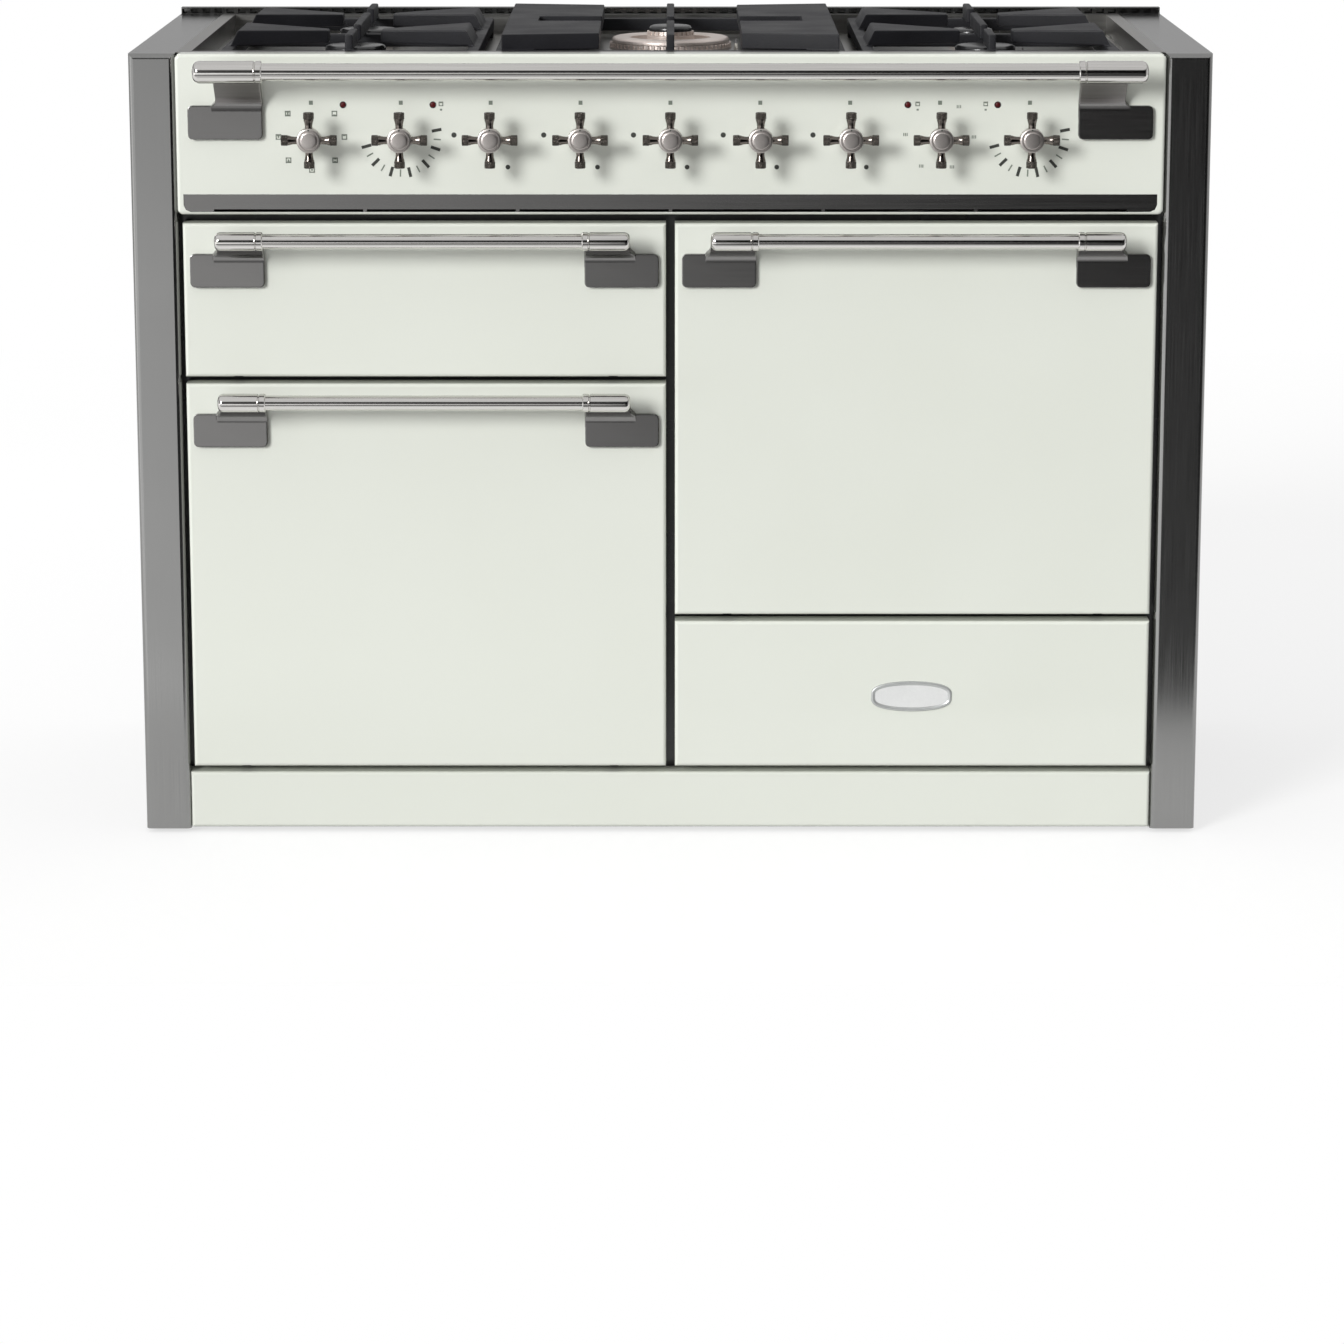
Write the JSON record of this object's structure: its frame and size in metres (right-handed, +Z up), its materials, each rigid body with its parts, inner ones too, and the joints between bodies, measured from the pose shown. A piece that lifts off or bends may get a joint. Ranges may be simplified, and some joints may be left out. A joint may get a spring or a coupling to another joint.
{
  "type": "dual fuel range cooker",
  "caption": "Wide free-standing dual fuel range cooker with gas hob, broiler, drop-down oven doors, storage drawer, front rail, and cross-head knobs on an enamelled fascia.",
  "frame": {"origin": "on the floor under the middle of the overall footprint, rail included", "axes": "+X to the right seen from the front, +Y to the back, +Z up; the doors face -Y"},
  "size_m": [1.215, 0.6644, 0.916],
  "materials": {
    "enamel": "gloss vitreous enamel, warm white",
    "side_steel": "vertical brushed steel",
    "bright_steel": "satin nickel",
    "bracket_steel": "brushed dark steel",
    "black_enamel": "black vitreous enamel",
    "cast_iron": "matt enamelled cast iron",
    "hob_steel": "brushed stainless steel",
    "galvanised": "galvanised sheet",
    "aluminium": "bare aluminium",
    "brass": "machined brass",
    "seal_rubber": "matt silicone",
    "red_lens": "dark red lens",
    "foot_plastic": "black moulded",
    "chrome_wire": "chromed wire",
    "element_steel": "heat-darkened sheath"
  },
  "bodies": {
    "cabinet": {"fascia": "enamel", "plinth": "enamel", "side_panels": "side_steel", "rear_vent": "side_steel", "rail_bar": "bright_steel", "rail_brackets": "bracket_steel", "vent_trim": "bracket_steel", "front_frame": "black_enamel", "broiler_cavity": "black_enamel", "left_oven_cavity": "black_enamel", "right_oven_cavity": "black_enamel", "burner_caps": "black_enamel", "broiler_pan": "black_enamel", "fan_covers": "black_enamel", "left_pan_support": "cast_iron", "right_pan_support": "cast_iron", "centre_pan_support": "cast_iron", "hob_tray": "hob_steel", "base_tray": "galvanised", "back_panel": "galvanised", "drawer_runners": "galvanised", "taps_and_switches": "galvanised", "gas_fittings": "aluminium", "burner_heads": "aluminium", "door_seals": "seal_rubber", "indicator_lenses": "red_lens", "levelling_feet": "foot_plastic", "oven_racks": "chrome_wire", "heating_elements": "element_steel", "fan_motors": "element_steel"},
    "broiler_door": {"broiler_door_panel": "enamel", "broiler_door_liner": "black_enamel", "broiler_handle_bar": "bright_steel", "broiler_handle_brackets": "bracket_steel"},
    "left_oven_door": {"left_oven_door_panel": "enamel", "left_oven_door_liner": "black_enamel", "left_oven_handle_bar": "bright_steel", "left_oven_handle_brackets": "bracket_steel"},
    "right_oven_door": {"right_oven_door_panel": "enamel", "right_oven_door_liner": "black_enamel", "right_oven_handle_bar": "bright_steel", "right_oven_handle_brackets": "bracket_steel"},
    "drawer": {"drawer_front": "enamel", "drawer_box": "galvanised"},
    "left_oven_fan": {"left_oven_fan": "galvanised"},
    "right_oven_fan": {"right_oven_fan": "galvanised"},
    "function_control": {"function_knob": "bright_steel"},
    "left_oven_control": {"left_oven_knob": "bright_steel"},
    "broiler_control": {"broiler_knob": "bright_steel"},
    "right_oven_control": {"right_oven_knob": "bright_steel"},
    "burner_1_tap": {"burner_1_tap_core": "brass"},
    "burner_1_control": {"burner_1_knob": "bright_steel"},
    "burner_2_tap": {"burner_2_tap_core": "brass"},
    "burner_2_control": {"burner_2_knob": "bright_steel"},
    "burner_3_tap": {"burner_3_tap_core": "brass"},
    "burner_3_control": {"burner_3_knob": "bright_steel"},
    "burner_4_tap": {"burner_4_tap_core": "brass"},
    "burner_4_control": {"burner_4_knob": "bright_steel"},
    "burner_5_tap": {"burner_5_tap_core": "brass"},
    "burner_5_control": {"burner_5_knob": "bright_steel"}
  },
  "joints": [
    {"name": "broiler_door_hinge", "type": "hinge", "parent": "cabinet", "child": "broiler_door", "pos_m": [-0.2775, -0.26075, 0.5445], "axis": [1, 0, 0], "range_deg": [0, 90], "stiffness_Nm_per_rad": 1.5, "springref_deg": -28.65},
    {"name": "left_oven_door_hinge", "type": "hinge", "parent": "cabinet", "child": "left_oven_door", "pos_m": [-0.2775, -0.26075, 0.09], "axis": [1, 0, 0], "range_deg": [0, 90], "stiffness_Nm_per_rad": 6.5, "springref_deg": -20.05},
    {"name": "right_oven_door_hinge", "type": "hinge", "parent": "cabinet", "child": "right_oven_door", "pos_m": [0.2775, -0.26075, 0.269], "axis": [1, 0, 0], "range_deg": [0, 90], "stiffness_Nm_per_rad": 6.5, "springref_deg": -20.05},
    {"name": "drawer_slide", "type": "slide", "parent": "cabinet", "child": "drawer", "axis": [0, -1, 0], "range_m": [0, 0.35]},
    {"name": "left_oven_fan_spin", "type": "hinge", "parent": "cabinet", "child": "left_oven_fan", "pos_m": [-0.2775, 0.1808, 0.30825], "axis": [0, 1, 0], "continuous": true},
    {"name": "right_oven_fan_spin", "type": "hinge", "parent": "cabinet", "child": "right_oven_fan", "pos_m": [0.2775, 0.1808, 0.489], "axis": [0, 1, 0], "continuous": true},
    {"name": "function_turn", "type": "hinge", "parent": "cabinet", "child": "function_control", "pos_m": [-0.4028, -0.27175, 0.8065], "axis": [0, 1, 0], "continuous": true},
    {"name": "left_oven_turn", "type": "hinge", "parent": "cabinet", "child": "left_oven_control", "pos_m": [-0.3021, -0.27175, 0.8065], "axis": [0, 1, 0], "range_deg": [0, 265]},
    {"name": "broiler_turn", "type": "hinge", "parent": "cabinet", "child": "broiler_control", "pos_m": [0.3021, -0.27175, 0.8065], "axis": [0, 1, 0], "range_deg": [0, 270]},
    {"name": "right_oven_turn", "type": "hinge", "parent": "cabinet", "child": "right_oven_control", "pos_m": [0.4028, -0.27175, 0.8065], "axis": [0, 1, 0], "range_deg": [0, 265]},
    {"name": "burner_1_turn", "type": "hinge", "parent": "cabinet", "child": "burner_1_tap", "pos_m": [-0.2014, -0.26, 0.8065], "axis": [0, -1, 0], "range_deg": [0, 210]},
    {"name": "burner_1_push", "type": "slide", "parent": "burner_1_tap", "child": "burner_1_control", "axis": [0, 1, 0], "range_m": [0, 0.004], "stiffness_N_per_m": 1500, "springref_m": -0.003},
    {"name": "burner_2_turn", "type": "hinge", "parent": "cabinet", "child": "burner_2_tap", "pos_m": [-0.1007, -0.26, 0.8065], "axis": [0, -1, 0], "range_deg": [0, 210]},
    {"name": "burner_2_push", "type": "slide", "parent": "burner_2_tap", "child": "burner_2_control", "axis": [0, 1, 0], "range_m": [0, 0.004], "stiffness_N_per_m": 1500, "springref_m": -0.003},
    {"name": "burner_3_turn", "type": "hinge", "parent": "cabinet", "child": "burner_3_tap", "pos_m": [0, -0.26, 0.8065], "axis": [0, -1, 0], "range_deg": [0, 210]},
    {"name": "burner_3_push", "type": "slide", "parent": "burner_3_tap", "child": "burner_3_control", "axis": [0, 1, 0], "range_m": [0, 0.004], "stiffness_N_per_m": 1500, "springref_m": -0.003},
    {"name": "burner_4_turn", "type": "hinge", "parent": "cabinet", "child": "burner_4_tap", "pos_m": [0.1007, -0.26, 0.8065], "axis": [0, -1, 0], "range_deg": [0, 210]},
    {"name": "burner_4_push", "type": "slide", "parent": "burner_4_tap", "child": "burner_4_control", "axis": [0, 1, 0], "range_m": [0, 0.004], "stiffness_N_per_m": 1500, "springref_m": -0.003},
    {"name": "burner_5_turn", "type": "hinge", "parent": "cabinet", "child": "burner_5_tap", "pos_m": [0.2014, -0.26, 0.8065], "axis": [0, -1, 0], "range_deg": [0, 210]},
    {"name": "burner_5_push", "type": "slide", "parent": "burner_5_tap", "child": "burner_5_control", "axis": [0, 1, 0], "range_m": [0, 0.004], "stiffness_N_per_m": 1500, "springref_m": -0.003}
  ]
}
